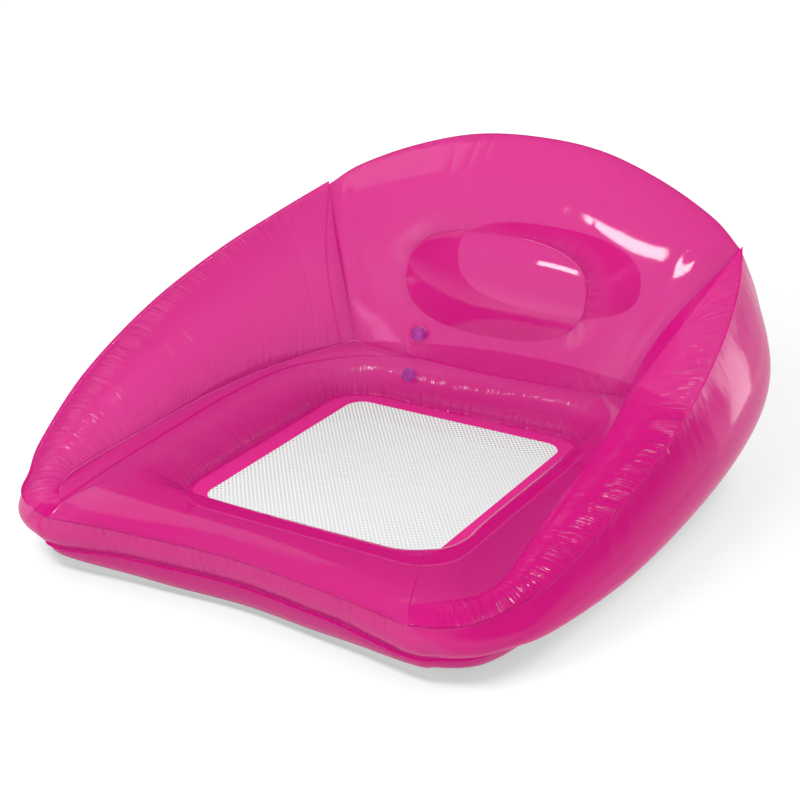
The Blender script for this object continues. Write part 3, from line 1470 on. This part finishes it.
    def rings(self, surface: Callable[[Array], Array], outer: Array, inner: Array,
              shares: Array) -> tuple[Array, Array]:
        """Points and places on a wall, in columns from the outer places to the inner ones."""
        places = outer[:, None] + (inner - outer)[:, None] * shares[None, :, None]
        return surface(places.reshape(-1, 2)).reshape(*places.shape[:2], 3), places

    def puckered(self, grid: Array, places: Array, height: float, flip: bool) -> Array:
        """A wall with pillows below its top weld.

        Args:
            grid: Points as columns by rows.
            places: Their shares across and down.
            height: Metres from the weld to the wall's lower edge.
            flip: Whether the grid's own normals are turned round.

        Returns:
            The points, pushed outwards.
        """
        width = run_length(self.welds.top_back)[-1]
        along = places[..., 0] * width
        down = np.clip(places[..., 1], 0, 1) * height
        sides = eased(np.minimum(places[..., 0], 1 - places[..., 0]) / self.pucker_fade_share)
        relief = (self.top_pucker.relief(along, down) + self.top_long.relief(along, down)) * sides
        return inflated(grid, relief, closed=True, flip=flip)

    def build(self) -> None:
        """Makes both panels, the headrest's face and its wall."""
        f = self.welds.fine
        shares = crowded(f.face_rows, self.face_crowding)
        oval_shares = crowded(f.oval_rows, self.oval_crowding) * self.pole_share
        face, places = self.rings(self.front_wall, self.edge, self.front_oval, shares)
        face = self.puckered(face, places, self.face_height, True)
        face = self.grooved(face)
        Surface("backrest_face_film", self.film, "lounge", Slot.FILM, "backrest_front_panel").build(
            face, closed=True, flip=True, hole=ValveHole("back_valve_flange"),
            seam=seam_of(face, both=True, ribs=self.face_ribs))
        middle = np.broadcast_to(self.front_oval.mean(axis=0), self.front_oval.shape)
        cushion, _ = self.rings(self.front_wall, self.front_oval, middle, oval_shares)
        cushion = self.crowned(cushion)
        pole = cushion[:, -1].mean(axis=0)
        Surface("headrest_film", self.film, "lounge", Slot.FILM, "headrest_face").build(
            cushion, closed=True, flip=True, pole=pole, seam=seam_of(cushion, ribs=0.0))
        rear, rear_places = self.rings(self.rear_wall, self.edge, self.rear_oval, shares)
        rear = self.puckered(rear, rear_places, self.rear_height, False)
        rear_middle = np.broadcast_to(self.rear_oval.mean(axis=0), self.rear_oval.shape)
        inner, _ = self.rings(self.rear_wall, self.rear_oval, rear_middle, oval_shares)
        whole = np.concatenate([rear, inner[:, 1:]], axis=1)
        Surface("backrest_rear_film", self.film, "lounge", Slot.FILM, "backrest_rear_panel").build(
            whole, closed=True, pole=whole[:, -1].mean(axis=0), seam=seam_of(whole))
        self.headrest_wall(face[:, -1], rear[:, -1])

    def grooved(self, face: Array) -> Array:
        """The face drawn in towards the oval: a depth that fades with the distance from its weld.

        Args:
            face: Points as columns by rows, the oval last.

        Returns:
            The points, pushed inwards by the groove times the exponential of minus the squared share.
        """
        away = run_length(face[:, ::-1], axis=1)[:, ::-1]
        depth = self.groove * np.exp(-(away / self.groove_reach) ** 2)
        return inflated(face, -depth, closed=True, flip=True)

    def crowned(self, cushion: Array) -> Array:
        """The headrest's face: drawn in at its weld and crowned over its middle.

        Args:
            cushion: Points as columns by rows, the weld first.

        Returns:
            The points, lifted as a parabola and lowered with the cube of the way left to the middle.
        """
        way = run_length(cushion, axis=1)
        away = way / way[:, -1:]
        lift = self.oval_crown * (1 - (1 - away) ** 2)
        depth = self.groove * (1 - away) ** 3
        direction = self.read(self.face_out, self.front_oval.mean(axis=0)[:1])[0]
        return cushion + direction * (lift - depth)[..., None]

    def headrest_wall(self, front: Array, rear: Array) -> None:
        """The wall of film from the front oval back to the rear one, waisted by the pull of the air.

        The waist is half a sine of the way between them.

        Args:
            front: Points of the front oval.
            rear: Points of the rear oval.
        """
        s = self.welds.sizes
        through = unit(rear - front)
        start, end = front + through * 2 * s.layer, rear - through * 2 * s.layer
        ways = np.linspace(0, 1, self.wall_rows)
        wall = start[:, None] + (end - start)[:, None] * ways[None, :, None]
        middle = wall.mean(axis=0)
        waist = self.waist * np.sin(np.pi * ways)
        wall = wall + unit(middle[None] - wall) * waist[None, :, None]
        Surface("headrest_wall_film", self.film, "lounge", Slot.FILM, "headrest_wall").build(wall, closed=True)


@dataclass
class Seat:
    """The flat vinyl margin round the window and the white net across it."""

    welds: Welds
    base: Base
    flat_vinyl: bpy.types.Material
    net: bpy.types.Material
    sag: float = 0.0015
    margin_rows: int = 9
    net_rows: int = 25
    front_reach: float = 0.015
    rear_reach: float = 0.005

    def outline(self, half_width: float, front: float, rear: float, corner: float, count: int = 96) -> Array:
        """Rounded rectangle, anticlockwise: each of its corners is a quarter circle.

        Args:
            half_width: Centre line to either side.
            front: Y of the front edge.
            rear: Y of the rear edge.
            corner: Corner radius.
            count: Points round it.

        Returns:
            Points in plan.
        """
        turns = np.linspace(0, np.pi / 2, count // 4)
        places = ((half_width - corner, front + corner, -1), (half_width - corner, rear - corner, 0),
                  (corner - half_width, rear - corner, 1), (corner - half_width, front + corner, 2))
        parts = [np.column_stack([x + corner * np.cos(turn * np.pi / 2 + turns),
                                  y + corner * np.sin(turn * np.pi / 2 + turns)]) for x, y, turn in places]
        return np.vstack(parts)

    def build(self) -> None:
        """Makes the margin as a flat ring and the net as a stretched sheet."""
        s = self.welds.sizes
        under = s.weld_width / 2
        outer = self.outline(s.frame_half_width + under, s.frame_front - under + s.shift,
                             s.frame_rear + under + s.shift, s.frame_corner + under)
        inner = self.outline(s.window_half_width, s.window_front - self.front_reach + s.shift,
                             s.window_rear + self.rear_reach + s.shift, s.window_corner)
        ways = np.linspace(0, 1, self.margin_rows)
        plan = outer[:, None] + (inner - outer)[:, None] * ways[None, :, None]
        ring = np.concatenate([plan, np.full((*plan.shape[:2], 1), s.mesh_height)], axis=2)
        Surface("window_margin", self.flat_vinyl, "lounge", Slot.FLAT, "mesh_frame").build(ring, closed=True)
        middle = outer.mean(axis=0)
        ways = np.linspace(0, 1, self.net_rows)[:-1]
        plan = outer[:, None] + (middle - outer)[:, None] * ways[None, :, None]
        height = s.mesh_height - s.layer - self.sag * np.sin(ways * np.pi / 2) ** 2
        cloth = np.concatenate([plan, np.broadcast_to(height[None, :, None], (*plan.shape[:2], 1))], axis=2)
        pole = np.array([*middle, s.mesh_height - s.layer - self.sag])
        made = Surface("seat_net", self.net, "lounge", Slot.MESH, "seat_mesh").build(
            cloth, closed=True, pole=pole)


# Studio


@dataclass(frozen=True)
class StudioFloor:
    """White paper floor: lit paper keeps the shadow, and what the camera sees is lifted to white."""

    name: str = "studio_paper"
    paper: str = "#efefef"
    lift: float = 0.24
    far_lift: float = 0.56
    lift_edges: tuple = (0.9, 2.6)

    def make(self) -> bpy.types.Material:
        """Builds the finish: paper plus a faint glow for camera, gloss and see-through rays.

        The glow rises with the distance from the middle, where the lamps' light falls off.

        Returns:
            The finished material.
        """
        shader = Shader(bpy.data.materials.new(self.name))
        paper = shader.node("ShaderNodeBsdfDiffuse", {"Color": linear(self.paper)})
        place = shader.node("ShaderNodeTexCoord").outputs["Object"]
        distance = shader.node("ShaderNodeVectorMath", {0: place}, operation="LENGTH").outputs["Value"]
        near, far = self.lift_edges
        lift = shader.node("ShaderNodeMapRange", {"Value": distance, "From Min": near, "From Max": far,
                                                  "To Min": self.lift, "To Max": self.far_lift},
                           interpolation_type="SMOOTHSTEP")
        strength = shader.node("ShaderNodeMath", {0: shader.seen_directly(), 1: lift}, operation="MULTIPLY")
        glow = shader.node("ShaderNodeEmission", {"Color": linear(WHITE), "Strength": strength})
        return shader.finish(shader.node("ShaderNodeAddShader", {0: paper, 1: glow}))


@dataclass(frozen=True)
class Lamp:
    """A soft rectangular lamp that looks at the lounge, in metres and watts."""

    name: str
    place: tuple
    width: float
    height: float
    power: float
    target: tuple = (0.0, 0.0, 0.20)

    def hang(self) -> None:
        """Makes the lamp, out of the camera's sight."""
        data = bpy.data.lights.new(self.name, "AREA")
        data.shape = "RECTANGLE"
        data.size, data.size_y = self.width, self.height
        data.energy = self.power
        made = bpy.data.objects.new(self.name, data)
        made.location = self.place
        made.rotation_euler = (Vector(self.target) - Vector(self.place)).to_track_quat("-Z", "Y").to_euler()
        made.visible_camera = False
        bpy.context.scene.collection.objects.link(made)


@dataclass
class Studio:
    """Floor, soft lamps, white world and the camera of the photograph."""

    camera_place: tuple = (1.2077, -2.0640, 1.1548)
    camera_turn: tuple = (67.455, 0.0, 30.558)
    lens: float = 74.36
    sensor_width: float = 36.0
    floor_size: float = 14.0
    floor_gap: float = 0.0005
    world_level: float = 0.59
    ceiling_level: float = 0.08
    backdrop_edges: tuple = (0.04, 0.20)
    see_through_layers: int = 32
    lamps: tuple = (
        Lamp("front_softbox", (0.00, -1.92, 2.50), 1.4, 0.50, 46.0),
        Lamp("right_strip", (1.75, 2.41, 0.65), 0.45, 1.5, 8.0),
        Lamp("left_panel", (-2.2, 0.6, 2.2), 1.5, 1.5, 5.5))

    def build(self) -> None:
        """Makes the whole studio."""
        self.camera()
        self.floor()
        self.world()
        for lamp in self.lamps:
            lamp.hang()
        scene = bpy.context.scene
        scene.view_settings.view_transform = "Standard"
        scene.cycles.transparent_max_bounces = self.see_through_layers

    def camera(self) -> None:
        """Stands the camera where the photograph was taken from."""
        data = bpy.data.cameras.new("camera")
        data.lens = self.lens
        data.sensor_width = self.sensor_width
        made = bpy.data.objects.new("camera", data)
        made.location = self.camera_place
        made.rotation_euler = Euler(np.radians(self.camera_turn).tolist())
        bpy.context.scene.collection.objects.link(made)
        bpy.context.scene.camera = made

    def floor(self) -> None:
        """Lays the floor just under the lounge."""
        half = self.floor_size / 2
        plan = ((-half, -half), (half, -half), (half, half), (-half, half))
        mesh = bpy.data.meshes.new("floor")
        mesh.from_pydata([(x, y, -self.floor_gap) for x, y in plan], [], [(0, 1, 2, 3)])
        mesh.materials.append(StudioFloor().make())
        made = bpy.data.objects.new("floor", mesh)
        bpy.context.scene.collection.objects.link(made)

    def world(self) -> None:
        """White backdrop where it is seen, with a darker ceiling over it, and one plain level of light.

        The backdrop ends at a height whose sine runs from the first to the second of its edges.
        """
        world = bpy.data.worlds.new("studio")
        bpy.context.scene.world = world
        shader = Shader(world)
        way = shader.node("ShaderNodeTexCoord").outputs["Generated"]
        height = shader.node("ShaderNodeSeparateXYZ", {"Vector": way}).outputs["Z"]
        low, high = self.backdrop_edges
        seen = shader.node("ShaderNodeMapRange", {"Value": height, "From Min": low, "From Max": high,
                                                  "To Min": 1.0, "To Max": self.ceiling_level})
        level_here = shader.node("ShaderNodeMix", {"Factor": shader.seen_directly(), "A": self.world_level,
                                                   "B": seen})
        back = shader.node("ShaderNodeBackground", {"Color": linear(WHITE),
                                                    "Strength": level_here.outputs["Result"]})
        shader.node("ShaderNodeOutputWorld", {"Surface": back})


def main() -> None:
    """Builds the studio, then the lounge's pieces in order."""
    logging.basicConfig(level=logging.INFO, format="%(name)s: %(message)s")
    Studio().build()
    film = VinylFilm().make()
    flat = VinylFilm("calendered_pink_vinyl_margin", scatter=0.93, edge_scatter=0.97, roughness=0.16).make()
    hull = VinylFilm("calendered_pink_vinyl_hull", shade="#aaaaaa", gloss=0.35).make()
    wall = VinylFilm("calendered_pink_vinyl_wall", gloss=0.60).make()
    net = WovenMesh().make()
    violet = ValvePvc().make()
    clear = ValvePvc("moulded_clear_pink_pvc", colour="#f3459e", tint="#fef3fa", scatter=0.12).make()
    welds = Welds()
    OuterWall(welds, wall).build()
    base = Base(welds, film, hull)
    base.build()
    Arms(welds, base, film).build()
    Backrest(welds, base, film).build()
    Seat(welds, base, flat, net).build()
    for name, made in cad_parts.items():
        if "valve" in name:
            made.data.materials.clear()
            made.data.materials.append(clear if name.endswith("flange") else violet)
            log.info("%s keeps its solid", name)


if __name__ == "__main__":
    main()
